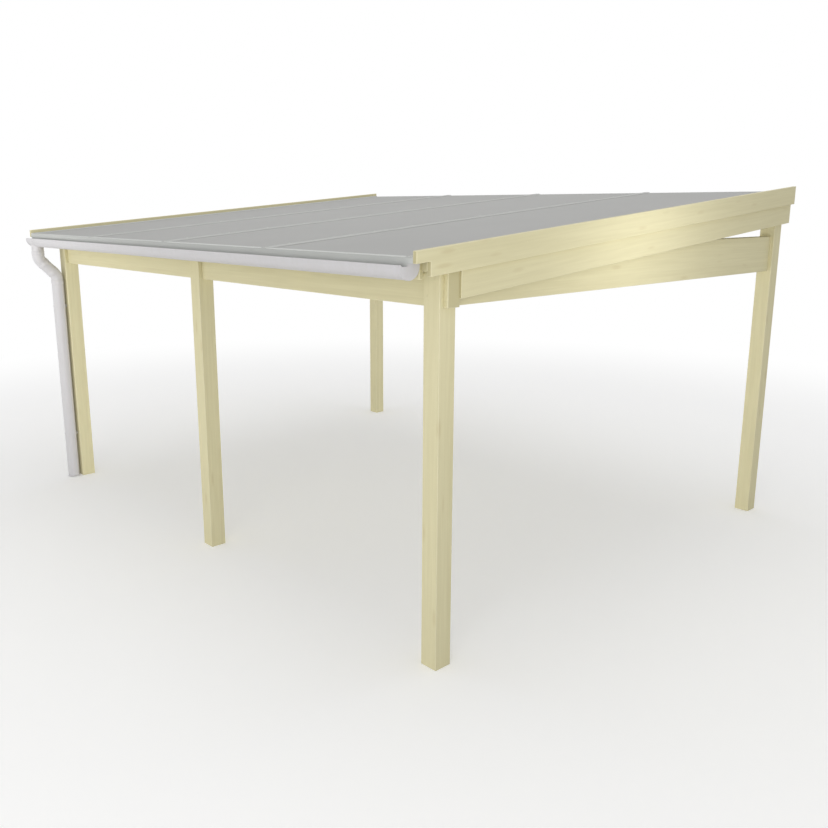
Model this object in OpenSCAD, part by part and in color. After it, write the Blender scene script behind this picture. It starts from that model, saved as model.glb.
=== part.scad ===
// Lean-to sunroom frame: five posts, beams and rafters under a low roof of grey sheets.
// Millimetres. X runs along the gutter, Y towards the high side, Z up.
// The origin is on the ground, under the middle of the box that the whole frame fills.

/* [Posts and beams] */
// Width over the outer faces of the corner posts
frame_w = 5060; // [3600:10:6500]
// Depth over the outer faces of the corner posts
frame_d = 4000; // [2800:10:5000]
// Clear height under the front beam and the side beams
clear_h = 2090; // [1900:10:2400]
// Side of the square posts
post_w = 120; // [110:5:160]
// Thickness of the tongue that a post head keeps outside its beam
tongue_t = 30; // [20:1:40]
// Height of the front beam
front_beam_h = 200; // [170:5:220]
// Height of the side beams
side_beam_h = 280; // [200:5:300]
// Height of the back beam
back_beam_h = 120; // [100:5:180]

/* [Rafters] */
// Width of a rafter
rafter_w = 60; // [45:5:80]
// Depth of a rafter, square to the slope
rafter_h = 100; // [90:5:140]
// Depth of the notch where a rafter sits on a beam
seat_cut = 24; // [15:1:35]

/* [Roof] */
// Pitch of the roof in degrees
roof_pitch = 5; // [4:0.1:6]
// Thickness of the roof sheets
sheet_t = 25; // [16:1:35]
// How far the sheets reach out over the gutter, from its back
eave_lap = 85; // [60:5:105]
// Gap between neighbouring sheets, under the joint bar
sheet_gap = 12; // [4:1:20]
// Width of the bars that cover the sheet joints
bar_w = 60; // [50:1:80]
// Height of the bars above the sheets
bar_h = 15; // [8:1:20]
// Wall of the profiles that close the ends of the sheets
profile_wall = 3; // [2:0.5:4]
// Depth of the flanges that hold those profiles on the sheets
profile_flange = 40; // [25:1:55]
// How far the eave profile hangs below the sheets, into the gutter
drip_h = 25; // [18:1:32]

/* [Gable and verge boards] */
// Thickness of the gable boards
gable_t = 42; // [35:1:60]
// Height of the gable boards below the sheets, square to the slope
gable_h = 230; // [200:5:260]
// Thickness of the verge boards
verge_t = 28; // [20:1:40]
// Height of the verge boards, square to the slope
verge_h = 140; // [120:5:180]
// How far the verge boards stand above the sheets
verge_rise = 36; // [20:1:50]
// Height of the verge boards' ends that reach out over the gutter
verge_tip_h = 64; // [45:1:72]
// Gap between the back of the gutter and the gable and verge boards
notch_gap = 15; // [5:1:30]
// How far the gable and verge boards run out past the back posts
board_run = 40; // [0:5:60]

/* [Gutter] */
// How far the face of the eaves board stands in front of the front posts
eaves_face = 150; // [125:1:160]
// Thickness of the eaves board
eaves_board_t = 24; // [18:1:30]
// Height of the eaves board
eaves_board_h = 95; // [85:5:110]
// Outer radius of the half-round gutter
gutter_r = 70; // [65:1:80]
// Wall of the gutter
gutter_wall = 3; // [2:0.5:5]
// Radius of the bead along the front rim
bead_r = 8; // [5:1:9]
// Height of the flange along the back rim
flange_h = 20; // [10:1:25]
// Gap from the top of the bead up to the underside of the sheets
rim_drop = 10; // [8:1:15]
// How far the gutter runs out past the left-hand posts
gutter_run = 22; // [5:1:35]
// Thickness of the gutter end caps
cap_t = 3; // [2:0.5:5]

/* [Downpipe] */
// Outer radius of the downpipe
pipe_r = 53; // [40:1:56]
// Wall of the downpipe
pipe_wall = 3; // [2:0.5:5]
// Distance from the outer face of the left-hand posts to the centre of the downpipe
pipe_in = 50; // [35:1:60]
// Gap between the downpipe and the front face of the post
pipe_gap = 10; // [8:1:30]
// Length of the straight outlet under the gutter
outlet_h = 76; // [50:1:120]
// Radius of the pipe bends, at the centre of the pipe
bend_r = 92; // [80:1:105]
// Angle that each bend turns through
bend_angle = 44.5; // [38:0.5:52]
// Height of the downpipe's lower end above the ground
foot_gap = 8; // [5:1:60]
// Height of the blocks that hold the downpipe to the post
bracket_h = 25; // [15:1:40]
// Width of those blocks
bracket_w = 30; // [20:1:40]

/* [Hidden] */
$fn = 96;

bays = 4;
bay_w = frame_w / bays;
past = 1; // cutting tools run past a face by this much
side_clear = 5; // between the side beams and the sheets above them
drip_clear = 6; // between the ends of the drip leg and the ends of the gutter

// Posts and beams
beam_t = post_w - tongue_t;
front_top = clear_h + front_beam_h;
back_face = frame_d - post_w;

// Heights of the sloping layers at a distance y behind the front posts' faces
function plumb(depth) = depth / cos(roof_pitch);
function climb(y) = y * tan(roof_pitch);
function rafter_under(y) = front_top - seat_cut + climb(y - post_w);
function sheet_under(y) = rafter_under(y) + plumb(rafter_h);
function sheet_top(y) = sheet_under(y) + plumb(sheet_t);
back_top = rafter_under(back_face) + seat_cut;
back_seat = back_top - back_beam_h;

// The eave, and the gutter below it
eave_y = -eaves_face - eave_lap;
gutter_y = -eaves_face - gutter_r;
gutter_z = sheet_under(eave_y) - rim_drop - bead_r;
gutter_front = gutter_y - gutter_r;
gutter_back = gutter_y + gutter_r;
// The gutter's caps rise behind the drip leg until just below the eave profile
cap_rise = rim_drop + bead_r - profile_wall - 1;
notch_y = -eaves_face + notch_gap;
board_end = frame_d + board_run;

// Downpipe: the neck steps back from the gutter's middle to the post
pipe_y = -pipe_gap - pipe_r;
outlet_low = gutter_z - gutter_r - outlet_h;
bend_back = bend_r * (1 - cos(bend_angle));
bend_drop = bend_r * sin(bend_angle);
slant_len = (pipe_y - gutter_y - 2 * bend_back) / sin(bend_angle);
neck_low = outlet_low - 2 * bend_drop - slant_len * cos(bend_angle);
bracket_levels = [0.2 * clear_h, 0.8 * clear_h];

TIMBER = "#d3cda9";
SHEET = "#ababa9";
BAR = "#b4b5b2";
WHITE = "#d8d6d8";

// ---- building blocks -------------------------------------------------------

// A prism along X from x to x + w, over an outline of [y, z] points
module prism(x, w, outline) {
    translate([x, 0, 0]) rotate([90, 0, 90]) linear_extrude(w) polygon(outline);
}

module box(x, y, z, w, d, h) {
    translate([x, y, z]) cube([w, d, h]);
}

// Everything moves from the front left post's corner to the middle of the whole frame
module placed() {
    translate([-frame_w / 2, -(gutter_front + board_end) / 2, 0]) children();
}

// Mirrors a left-hand piece to the right-hand side
module on_right() {
    translate([frame_w, 0, 0]) mirror([1, 0, 0]) children();
}

// ---- posts -----------------------------------------------------------------

// The head is cut back behind the tongue, and the front beam lies in the cut
module front_post(x) {
    color(TIMBER) {
        prism(x, post_w, [[0, 0], [post_w, 0], [post_w, clear_h], [tongue_t, clear_h],
                          [tongue_t, front_top], [0, front_top]]);
    }
}

module back_post(x) {
    color(TIMBER) {
        prism(x, post_w, [[back_face, 0], [frame_d, 0], [frame_d, back_top],
                          [frame_d - tongue_t, back_top], [frame_d - tongue_t, back_seat],
                          [back_face, back_seat]]);
    }
}

// ---- beams -----------------------------------------------------------------

// It runs past the corner posts by as much as their heads keep in front of it
module front_beam() {
    color(TIMBER)
        box(-tongue_t, tongue_t, clear_h, frame_w + 2 * tongue_t, beam_t, front_beam_h);
}

module back_beam() {
    color(TIMBER)
        box(0, back_face, back_seat, frame_w, beam_t, back_beam_h);
}

// Between the front beam and the back post, trimmed where the sheets would meet it
module side_beam() {
    color(TIMBER) intersection() {
        box(tongue_t, post_w, clear_h, beam_t, frame_d - 2 * post_w, side_beam_h);
        prism(0, post_w, [[post_w, clear_h], [back_face, clear_h],
                          [back_face, sheet_under(back_face) - side_clear],
                          [post_w, sheet_under(post_w) - side_clear]]);
    }
}

// ---- rafters ---------------------------------------------------------------

// Notched to sit level on both beams; seat_from is where the front notch starts
module rafter(x, seat_from) {
    front = -eaves_face + eaves_board_t;
    color(TIMBER) difference() {
        prism(x, rafter_w, [[front, rafter_under(front)], [frame_d, rafter_under(frame_d)],
                            [frame_d, sheet_under(frame_d)], [front, sheet_under(front)]]);
        box(x - past, seat_from, front_top - 2 * seat_cut, rafter_w + 2 * past,
            post_w - seat_from, 2 * seat_cut);
        box(x - past, back_face, back_top - 2 * seat_cut, rafter_w + 2 * past,
            post_w + past, 2 * seat_cut);
    }
}

module edge_rafter() {
    rafter(post_w, tongue_t);
}

// ---- roof sheets, bars and profiles ----------------------------------------

// Outline points at a height h above the top or the underside of the sheets
function on_top(y, h = 0) = [y, sheet_top(y) + h];
function below(y, h = 0) = [y, sheet_under(y) + h];

module roof_sheet(number) {
    x0 = number == 1 ? -gable_t : (number - 1) * bay_w + sheet_gap / 2;
    x1 = number == bays ? frame_w + gable_t : number * bay_w - sheet_gap / 2;
    y0 = eave_y + profile_wall;
    y1 = frame_d - profile_wall;
    color(SHEET)
        prism(x0, x1 - x0, [below(y0), below(y1), on_top(y1), on_top(y0)]);
}

// Lies on the sheets, and steps up over the flanges of both end profiles
module cover_bar(x) {
    y0 = eave_y + profile_flange;
    y1 = frame_d - profile_flange;
    color(BAR)
        prism(x, bar_w, [on_top(eave_y, profile_wall), on_top(y0, profile_wall), on_top(y0),
                         on_top(y1), on_top(y1, profile_wall), on_top(frame_d, profile_wall),
                         on_top(frame_d, bar_h), on_top(eave_y, bar_h)]);
}

// Grips the low ends of the sheets, with a drip leg inside the gutter
module eave_profile() {
    web = eave_y + profile_wall;
    back = eave_y + profile_flange;
    color(BAR) {
        prism(-gable_t, frame_w + 2 * gable_t,
              [below(eave_y, -profile_wall), below(back, -profile_wall), below(back),
               below(web), on_top(web), on_top(back), on_top(back, profile_wall),
               on_top(eave_y, profile_wall)]);
        box(drip_clear - gutter_run, eave_y, sheet_under(eave_y) - drip_h,
            frame_w + gutter_run - 2 * drip_clear, profile_wall, drip_h);
    }
}

// Covers the high ends of the sheets, which rest on the rafters there
module high_edge_profile() {
    web = frame_d - profile_wall;
    back = frame_d - profile_flange;
    color(BAR)
        prism(-gable_t, frame_w + 2 * gable_t,
              [on_top(back), on_top(web), below(web), below(frame_d),
               on_top(frame_d, profile_wall), on_top(back, profile_wall)]);
}

// ---- gable and verge boards ------------------------------------------------

// Carries the sheets, hooks over the end of the front beam and passes the back post
module gable_board() {
    color(TIMBER)
        prism(-gable_t, gable_t,
              [below(notch_y),
               [notch_y, front_top],
               [post_w, front_top],
               below(post_w, -plumb(gable_h)),
               below(board_end, -plumb(gable_h)),
               below(board_end)]);
}

// Covers the side edge of the sheets
module verge_board() {
    function top(y) = sheet_top(y) + verge_rise;
    color(TIMBER)
        prism(-gable_t - verge_t, verge_t,
              [[eave_y, top(eave_y)],
               [eave_y, top(eave_y) - verge_tip_h],
               [notch_y, top(notch_y) - verge_tip_h],
               [notch_y, top(notch_y) - plumb(verge_h)],
               [board_end, top(board_end) - plumb(verge_h)],
               [board_end, top(board_end)]]);
}

// ---- gutter ----------------------------------------------------------------

module eaves_board() {
    back = -eaves_face + eaves_board_t;
    low = sheet_under(-eaves_face) - eaves_board_h;
    color(TIMBER)
        prism(0, frame_w, [[-eaves_face, low], [back, low], [back, sheet_under(back)],
                           [-eaves_face, sheet_under(-eaves_face)]]);
}

// Lower half of a disc, as an outline across the gutter
module half_disc(r) {
    difference() {
        circle(r);
        translate([-r - past, 0]) square([2 * (r + past), r + past]);
    }
}

// Lays a flat outline across the gutter and draws it out along X
module along_gutter(x, length) {
    translate([x, gutter_y, gutter_z]) rotate([90, 0, 90]) linear_extrude(length) children();
}

module gutter_outline() {
    difference() {
        half_disc(gutter_r);
        circle(gutter_r - gutter_wall);
    }
    translate([bead_r - gutter_r, 0]) circle(bead_r);
    translate([gutter_r - gutter_wall, 0]) square([gutter_wall, flange_h]);
}

module gutter() {
    color(WHITE) difference() {
        along_gutter(-gutter_run, frame_w + gutter_run) gutter_outline();
        translate([pipe_in, gutter_y, gutter_z - gutter_r - past])
            cylinder(r = pipe_r - pipe_wall, h = gutter_r);
    }
}

module gutter_cap(x) {
    color(WHITE) along_gutter(x, cap_t) {
        half_disc(gutter_r);
        translate([bead_r - gutter_r, 0]) circle(bead_r);
        translate([gutter_r - gutter_wall, 0]) square([gutter_wall, flange_h]);
        translate([eave_y - gutter_y, 0]) square([gutter_back - eave_y, cap_rise]);
    }
}

// ---- downpipe --------------------------------------------------------------

module ring() {
    difference() {
        circle(pipe_r);
        circle(pipe_r - pipe_wall);
    }
}

// A short tube that fits up against the round underside of the gutter
module gutter_outlet() {
    color(WHITE) difference() {
        translate([pipe_in, gutter_y, outlet_low]) linear_extrude(outlet_h + gutter_r) ring();
        along_gutter(pipe_in - pipe_r - past, 2 * (pipe_r + past)) circle(gutter_r);
    }
}

// The pipe turns away from the gutter, so this bend's centre lies behind it
module upper_pipe_bend() {
    color(WHITE) translate([pipe_in, gutter_y + bend_r, outlet_low]) rotate([-90, 0, -90])
        rotate_extrude(angle = bend_angle) translate([bend_r, 0]) ring();
}

module slanted_pipe() {
    color(WHITE) translate([pipe_in, gutter_y + bend_back, outlet_low - bend_drop])
        rotate([180 + bend_angle, 0, 0]) linear_extrude(slant_len) ring();
}

// The centre of this bend lies in front of the pipe, which leaves it straight down
module lower_pipe_bend() {
    color(WHITE) translate([pipe_in, pipe_y - bend_r, neck_low]) rotate([90, 0, 90])
        rotate_extrude(angle = bend_angle) translate([bend_r, 0]) ring();
}

module downpipe() {
    color(WHITE) translate([pipe_in, pipe_y, foot_gap])
        linear_extrude(neck_low - foot_gap) ring();
}

// Two blocks, each hollowed to the round of the pipe
module pipe_brackets() {
    color(WHITE) for (level = bracket_levels) difference() {
        box(pipe_in - bracket_w / 2, pipe_y, level, bracket_w, -pipe_y, bracket_h);
        translate([pipe_in, pipe_y, level - past]) cylinder(r = pipe_r, h = bracket_h + 2 * past);
    }
}

// ---- the whole frame -------------------------------------------------------

placed() front_post(0);  // post_front_left
placed() front_post((frame_w - post_w) / 2);  // post_front_middle
placed() front_post(frame_w - post_w);  // post_front_right
placed() back_post(0);  // post_back_left
placed() back_post(frame_w - post_w);  // post_back_right
placed() front_beam();
placed() back_beam();
placed() side_beam();  // left_side_beam
placed() on_right() side_beam();  // right_side_beam
placed() edge_rafter();  // left_edge_rafter
placed() rafter(bay_w - rafter_w / 2, tongue_t);  // left_rafter
placed() rafter((frame_w - rafter_w) / 2, 0);  // middle_rafter
placed() on_right() rafter(bay_w - rafter_w / 2, tongue_t);  // right_rafter
placed() on_right() edge_rafter();  // right_edge_rafter
placed() roof_sheet(1);  // roof_sheet_1
placed() roof_sheet(2);  // roof_sheet_2
placed() roof_sheet(3);  // roof_sheet_3
placed() roof_sheet(4);  // roof_sheet_4
placed() cover_bar(bay_w - bar_w / 2);  // joint_bar_1
placed() cover_bar(2 * bay_w - bar_w / 2);  // joint_bar_2
placed() cover_bar(3 * bay_w - bar_w / 2);  // joint_bar_3
placed() cover_bar(-gable_t);  // left_edge_bar
placed() cover_bar(frame_w + gable_t - bar_w);  // right_edge_bar
placed() eave_profile();
placed() high_edge_profile();
placed() gable_board();  // left_gable_board
placed() on_right() gable_board();  // right_gable_board
placed() verge_board();  // left_verge_board
placed() on_right() verge_board();  // right_verge_board
placed() eaves_board();
placed() gutter();
placed() gutter_cap(-gutter_run - cap_t);  // gutter_left_cap
placed() gutter_cap(frame_w);  // gutter_right_cap
placed() gutter_outlet();
placed() upper_pipe_bend();
placed() slanted_pipe();
placed() lower_pipe_bend();
placed() downpipe();
placed() pipe_brackets();
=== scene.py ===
# %% [markdown]
# # A lean-to sunroom frame
# Five cream-stained timber posts carry beams, rafters and a low roof of grey multiwall
# sheets. A half-round gutter and a downpipe hang on the low side. The solids come packed
# from a CAD model. This lesson adds what such solids lack: rounded arrises, grain, metal
# strips with their screws, small fittings, and light.

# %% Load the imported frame
import math
import bmesh
import bpy
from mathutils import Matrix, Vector


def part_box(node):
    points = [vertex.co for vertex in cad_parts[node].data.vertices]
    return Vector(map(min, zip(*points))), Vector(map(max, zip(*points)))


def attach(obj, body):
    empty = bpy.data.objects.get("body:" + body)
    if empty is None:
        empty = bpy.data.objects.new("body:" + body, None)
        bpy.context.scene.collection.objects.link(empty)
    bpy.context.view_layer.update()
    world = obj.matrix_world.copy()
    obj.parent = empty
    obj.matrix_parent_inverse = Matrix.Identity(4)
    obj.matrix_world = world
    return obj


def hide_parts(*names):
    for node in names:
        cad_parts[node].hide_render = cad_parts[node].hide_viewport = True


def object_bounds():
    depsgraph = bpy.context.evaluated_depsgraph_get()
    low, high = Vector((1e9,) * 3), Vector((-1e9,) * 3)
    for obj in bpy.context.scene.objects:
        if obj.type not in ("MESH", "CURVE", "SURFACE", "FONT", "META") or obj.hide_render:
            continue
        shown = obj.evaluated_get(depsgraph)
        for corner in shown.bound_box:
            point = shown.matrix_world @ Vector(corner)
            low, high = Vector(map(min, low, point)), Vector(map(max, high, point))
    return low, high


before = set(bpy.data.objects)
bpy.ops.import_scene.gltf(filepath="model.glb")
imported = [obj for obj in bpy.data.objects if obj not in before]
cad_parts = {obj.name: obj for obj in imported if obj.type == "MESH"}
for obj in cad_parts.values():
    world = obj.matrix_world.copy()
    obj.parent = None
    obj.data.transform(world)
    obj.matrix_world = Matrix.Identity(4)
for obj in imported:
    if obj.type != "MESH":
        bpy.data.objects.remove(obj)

MM = 0.001  # every length below is in metres, and sizes in millimetres are times MM
cad_box = [list(corner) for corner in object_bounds()]
low, high = (Vector(corner) for corner in cad_box)
scene = bpy.context.scene
print("CAD box in metres:", [round(size, 3) for size in high - low])

# %% [markdown]
# Colours are written as hex values, as a paint chart gives them. Such numbers are stored
# for the eye, while a renderer adds up light, so each one has to be turned to linear
# light first. One function does that for the whole file.

# %% Colours
def srgb(hex_colour):
    """Turns '#rrggbb' into the linear RGBA that a shader socket expects."""
    parts = [int(hex_colour[i:i + 2], 16) / 255 for i in (1, 3, 5)]
    line = [c / 12.92 if c <= 0.04045 else ((c + 0.055) / 1.055) ** 2.4 for c in parts]
    return (*line, 1.0)


print("middle grey in linear light:", round(srgb("#808080")[0], 3))

# %% [markdown]
# A material is a small graph of nodes. Adding a node, setting it and wiring it up takes
# three kinds of call in Blender, so one helper does all three. A value in `inputs` may be
# a number, a colour, or another node's output, and then it is linked.

# %% One helper for every shader node
def add(tree, kind, inputs=None, **settings):
    """Adds a shader node, sets its properties, and fills or links its inputs."""
    node = tree.nodes.new("ShaderNode" + kind)
    for name, value in settings.items():
        setattr(node, name, value)
    for socket, value in (inputs or {}).items():
        if isinstance(value, bpy.types.NodeSocket):
            tree.links.new(value, node.inputs[socket])
        else:
            node.inputs[socket].default_value = value
    return node


def new_material(name):
    """An empty material, its node tree and the socket that its shader goes into."""
    material = bpy.data.materials.new(name)
    material.use_nodes = True
    material.node_tree.nodes.clear()
    end = add(material.node_tree, "OutputMaterial")
    return material, material.node_tree, end.inputs["Surface"]


# A Mix node holds sockets for every type of value; these are the ones for colours
FACTOR, COLOUR_A, COLOUR_B, COLOUR_OUT = 0, 6, 7, 2
print("a Mix node blends the colours in sockets", COLOUR_A, "and", COLOUR_B)

# %% [markdown]
# The camera comes before the pieces, because it decides how much detail will show. A
# perspective view is fixed by where the eye is, where it looks, and the angle it takes
# in. The eye stands off the front right corner, well above a tall person, and looks
# 12.6 degrees down, so the roof is seen at a very flat angle.

# %% Camera
SENSOR, LENS = 36.0, 36.729  # millimetres
HEADING, TILT = math.radians(47.50), math.radians(-12.645)
EYE = (5.6138, -5.0126, 2.6061)
SHIFT_X, SHIFT_Y = 0.0223, -0.0211  # shares of the image's width

ahead = Vector((-math.sin(HEADING) * math.cos(TILT), math.cos(HEADING) * math.cos(TILT),
                math.sin(TILT)))
camera_data = bpy.data.cameras.new("camera")
camera_data.sensor_width = SENSOR
camera_data.lens = LENS
camera_data.shift_x, camera_data.shift_y = SHIFT_X, SHIFT_Y
camera = bpy.data.objects.new("camera", camera_data)
camera.location = EYE
camera.rotation_mode = "QUATERNION"
camera.rotation_quaternion = ahead.to_track_quat("-Z", "Y")
scene.collection.objects.link(camera)
scene.camera = camera
half_view = math.degrees(math.atan(SENSOR / 2 / LENS))
print("field of view in degrees:", round(2 * half_view, 1))

# %% [markdown]
# Most pieces follow the slope of the roof, so that slope is measured once, on the packed
# mesh of a roof sheet. Its highest corners at the low end and at the high end give the
# pitch, and `sheet_top` then gives the height of the sheets' top face at any depth.

# %% The roof's plane
corners = [vertex.co.copy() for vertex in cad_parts["roof_sheet_1"].data.vertices]
low_end = min(corner.y for corner in corners)
high_end = max(corner.y for corner in corners)
low_z = [corner.z for corner in corners if corner.y < low_end + MM]
high_z = [corner.z for corner in corners if corner.y > high_end - MM]
RISE = (max(high_z) - max(low_z)) / (high_end - low_end)
PITCH = math.atan(RISE)
SHEET_PLUMB = max(low_z) - min(low_z)  # thickness of a sheet, measured straight down

X, Y, Z = Vector((1, 0, 0)), Vector((0, 1, 0)), Vector((0, 0, 1))
UP_SLOPE = Vector((0, math.cos(PITCH), math.sin(PITCH)))
OFF_SLOPE = Vector((0, -math.sin(PITCH), math.cos(PITCH)))


def sheet_top(y):
    """Height of the top face of the roof sheets at a depth y."""
    return max(low_z) + (y - low_end) * RISE


print("pitch in degrees:", round(math.degrees(PITCH), 2), "sheet in mm:",
      round(SHEET_PLUMB * math.cos(PITCH) / MM, 1))

# %% [markdown]
# ## Materials
# The timber is spruce, planed and coated with a cream stain that hides most of the
# grain. Posts and beams are glued from lamellas about 40 mm thick; boards and rafters
# are sawn whole. An image of wood would repeat and would stretch round corners, so the
# wood is drawn in three dimensions instead: growth rings are shells about a heart line
# that runs near each lamella. Where a face cuts the shells, it shows rings or flames.
# Each board carries its own coordinates in an attribute: across, through and along.

# %% Timber
RING = 4 * MM        # spruce grows about 2 to 4 mm a year
LAMELLA = 40 * MM
WAVE = 2 * math.pi / 20  # a Wave texture of scale 1 repeats after this length
BOARD_GAP = 10           # metres from one board's coordinates to the next board's
HEART_SHIFT = (0.10, 0.07, 3.0)  # how far chance moves a layer's heart line
KNOT_CELLS = (9.0, 9.0, 2.2)     # cells per metre, with one knot in each
STAIN, STAIN_DEEP = srgb("#e0d9b3"), srgb("#d2caa2")
STAIN_KNOT, STAIN_WORN, STAIN_END = srgb("#bfae80"), srgb("#ebe5c8"), srgb("#c3bb93")


def stained_spruce(name, lamella):
    """Planed spruce under a cream stain; lamella is the thickness of its glued layers."""
    material, tree, surface = new_material(name)
    place = add(tree, "Attribute", attribute_name="board")
    parts = add(tree, "SeparateXYZ", {0: place.outputs["Vector"]})
    _, through, along = parts.outputs
    # Each layer of each board draws three chance numbers: its tone and its heart line
    layer = add(tree, "Math", {0: through, 1: lamella}, operation="DIVIDE")
    layer = add(tree, "Math", {0: layer.outputs[0]}, operation="FLOOR")
    board = add(tree, "Math", {0: along, 1: 1 / BOARD_GAP}, operation="MULTIPLY")
    board = add(tree, "Math", {0: board.outputs[0]}, operation="FLOOR")
    seed = add(tree, "CombineXYZ", {0: layer.outputs[0], 1: board.outputs[0]})
    chance = add(tree, "TexWhiteNoise", {"Vector": seed.outputs[0]},
                 noise_dimensions="3D")
    shift = add(tree, "VectorMath", {0: chance.outputs["Color"], 1: HEART_SHIFT},
                operation="MULTIPLY")
    heart = add(tree, "VectorMath", {0: place.outputs["Vector"], 1: shift.outputs[0]},
                operation="ADD")
    # Rings: long and nearly straight along the board, a little wavy
    slow = add(tree, "VectorMath", {0: heart.outputs[0], 1: (1.0, 1.0, 0.05)},
               operation="MULTIPLY")
    rings = add(tree, "TexWave", {"Vector": slow.outputs[0], "Scale": WAVE / RING,
                                  "Distortion": 3.0, "Detail": 2.0, "Detail Scale": 0.08},
                wave_type="RINGS", rings_direction="Z", wave_profile="SAW")
    # Streaks of 20 mm by about half a metre are what still shows from some metres away
    drawn = add(tree, "VectorMath", {0: heart.outputs[0], 1: (1.0, 1.0, 0.04)},
                operation="MULTIPLY")
    streaks = add(tree, "TexNoise", {"Vector": drawn.outputs[0], "Scale": 1 / (20 * MM),
                                     "Detail": 3.0, "Roughness": 0.55})
    fibres = add(tree, "TexNoise", {"Vector": drawn.outputs[0], "Scale": 1 / (1.5 * MM),
                                    "Detail": 2.0})
    tone = add(tree, "MapRange", {"Value": streaks.outputs[0], "From Min": 0.3,
                                  "From Max": 0.7, "To Min": 0.0, "To Max": 0.5})
    ringed = add(tree, "Math", {0: rings.outputs["Fac"], 1: 0.22, 2: tone.outputs[0]},
                 operation="MULTIPLY_ADD")
    toned = add(tree, "Math", {0: chance.outputs["Value"], 1: 0.25, 2: ringed.outputs[0]},
                operation="MULTIPLY_ADD", use_clamp=True)
    wood = add(tree, "Mix", {FACTOR: toned.outputs[0], COLOUR_A: STAIN,
                             COLOUR_B: STAIN_DEEP}, data_type="RGBA")
    # Knots are small eyes, drawn out along the grain, one about every 450 mm
    spots = add(tree, "VectorMath", {0: heart.outputs[0], 1: KNOT_CELLS},
                operation="MULTIPLY")
    eyes = add(tree, "TexVoronoi", {"Vector": spots.outputs[0], "Scale": 1.0})
    knot = add(tree, "MapRange", {"Value": eyes.outputs["Distance"], "From Min": 0.06,
                                  "From Max": 0.16, "To Min": 0.3, "To Max": 0.0})
    wood = add(tree, "Mix", {FACTOR: knot.outputs[0], COLOUR_B: STAIN_KNOT,
                             COLOUR_A: wood.outputs[COLOUR_OUT]}, data_type="RGBA")
    # The stain wears thin on the rounded arrises and soaks into the sawn ends
    arris_mask = add(tree, "Attribute", attribute_name="arris")
    worn_by = add(tree, "Math", {0: arris_mask.outputs["Fac"], 1: 0.4}, operation="MULTIPLY")
    wood = add(tree, "Mix", {FACTOR: worn_by.outputs[0], COLOUR_B: STAIN_WORN,
                             COLOUR_A: wood.outputs[COLOUR_OUT]}, data_type="RGBA")
    sawn = add(tree, "Attribute", attribute_name="end_grain")
    wood = add(tree, "Mix", {FACTOR: sawn.outputs["Fac"], COLOUR_B: STAIN_END,
                             COLOUR_A: wood.outputs[COLOUR_OUT]}, data_type="RGBA")
    grain = add(tree, "Math", {0: rings.outputs["Fac"], 1: 0.5, 2: fibres.outputs[0]},
                operation="MULTIPLY_ADD")
    relief = add(tree, "Bump", {"Height": grain.outputs[0], "Strength": 0.25,
                                "Distance": 0.3 * MM})
    matt = add(tree, "MapRange", {"Value": fibres.outputs[0], "To Min": 0.5,
                                  "To Max": 0.66})
    shader = add(tree, "BsdfPrincipled", {
        "Base Color": wood.outputs[COLOUR_OUT], "Roughness": matt.outputs[0],
        "Normal": relief.outputs[0], "Specular IOR Level": 0.35})
    tree.links.new(shader.outputs[0], surface)
    return material


glued_spruce = stained_spruce("glued_spruce_cream_stain", LAMELLA)
sawn_spruce = stained_spruce("sawn_spruce_cream_stain", 1.0)
print("timber materials:", glued_spruce.name, sawn_spruce.name)

# %% [markdown]
# The roof sheets are extruded polycarbonate, 25 mm thick, with thin ribs between an
# upper and a lower skin. Grey pigment makes them opaque. The ribs run down the slope and
# show through the skin as faint stripes, one every 20 mm. The skin itself is smooth but
# dull, because rain has etched it, and it has gathered a film of dust.

# %% Multiwall sheet
RIB = 20 * MM
multiwall, tree, surface = new_material("multiwall_polycarbonate_grey")
spot = add(tree, "TexCoord")
ribs = add(tree, "TexWave", {"Vector": spot.outputs["Object"], "Scale": WAVE / RIB},
           wave_type="BANDS", bands_direction="X")
clouds = add(tree, "TexNoise", {"Vector": spot.outputs["Object"], "Scale": 1.6,
                                "Detail": 4.0})
dust = add(tree, "TexNoise", {"Vector": spot.outputs["Object"], "Scale": 1 / (3 * MM),
                              "Detail": 2.0})
tone = add(tree, "Math", {0: clouds.outputs[0], 1: 0.5}, operation="MULTIPLY")
tone = add(tree, "Math", {0: ribs.outputs["Fac"], 1: 0.25, 2: tone.outputs[0]},
           operation="MULTIPLY_ADD")
tone = add(tree, "Math", {0: dust.outputs[0], 1: 0.25, 2: tone.outputs[0]},
           operation="MULTIPLY_ADD")
skin = add(tree, "Mix", {FACTOR: tone.outputs[0], COLOUR_A: srgb("#a6a6a4"),
                         COLOUR_B: srgb("#b2b2b0")}, data_type="RGBA")
relief = add(tree, "Bump", {"Height": ribs.outputs["Fac"], "Strength": 0.2,
                            "Distance": 0.2 * MM})
matt = add(tree, "MapRange", {"Value": dust.outputs[0], "To Min": 0.55, "To Max": 0.75})
shader = add(tree, "BsdfPrincipled", {
    "Base Color": skin.outputs[COLOUR_OUT], "Roughness": matt.outputs[0], "IOR": 1.58,
    "Specular IOR Level": 0.2, "Normal": relief.outputs[0]})
tree.links.new(shader.outputs[0], surface)
(x0, *_), (x1, *_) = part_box("roof_sheet_2")
print("ribs across one sheet:", round((x1 - x0) / RIB))
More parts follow.
